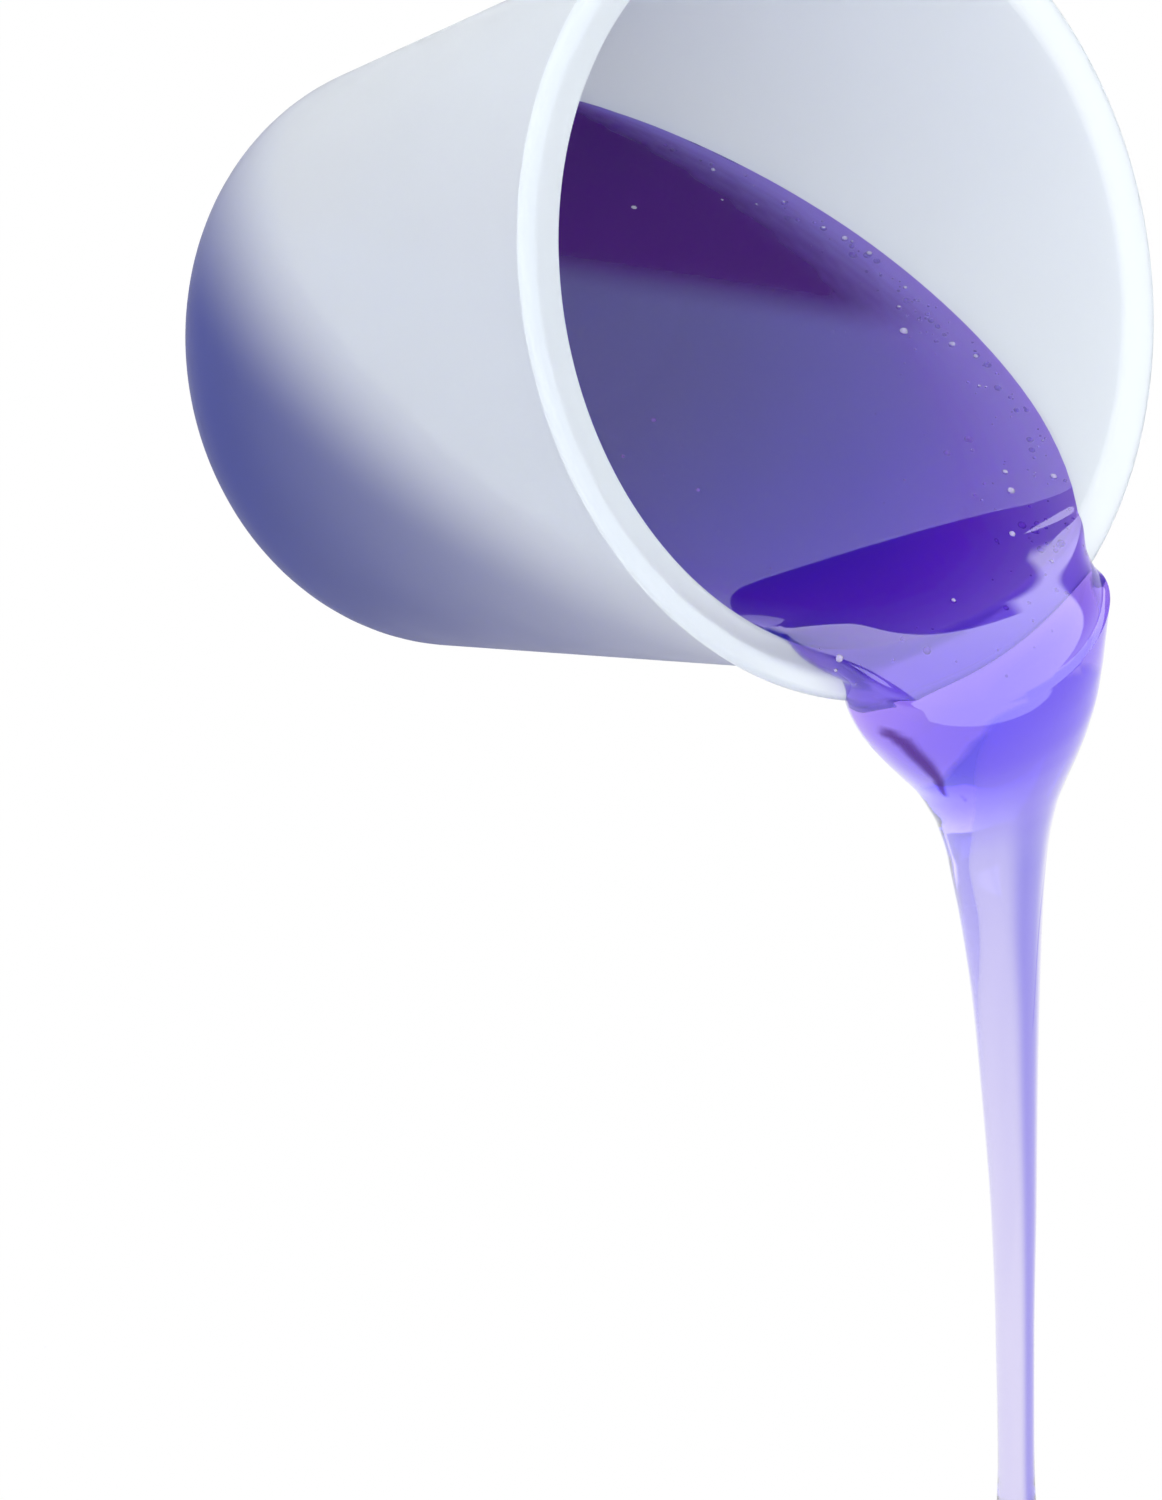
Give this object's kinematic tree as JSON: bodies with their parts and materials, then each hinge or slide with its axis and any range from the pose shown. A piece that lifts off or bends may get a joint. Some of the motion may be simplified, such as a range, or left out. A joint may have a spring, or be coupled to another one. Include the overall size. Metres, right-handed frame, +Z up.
{
  "type": "resin mixing cup",
  "caption": "Soft silicone mixing cup with a flat outturned rim, held tilted while thick violet resin runs over the rim in a thinning stream.",
  "frame": {"origin": "on the cup's own axis, 28 mm in front of its resting face, at the height where the tilted cup is held", "axes": "+Z up against gravity, +X the way the resin pours, +Y across the pour; the cup's axis points 24.5 degrees above +X"},
  "size_m": [0.097, 0.075, 0.1691],
  "materials": {
    "silicone": "satin, frosted, milky and see-through",
    "resin": "wet gloss, clear, tinted violet"
  },
  "bodies": {
    "cup": {"cup": "silicone"},
    "resin": {"resin_pool": "resin", "resin_stream": "resin"}
  },
  "joints": [
    {"name": "resin_out", "type": "slide", "parent": "cup", "child": "resin", "axis": [0.91, 0, 0.4147], "range_m": [0, 0.09]}
  ]
}
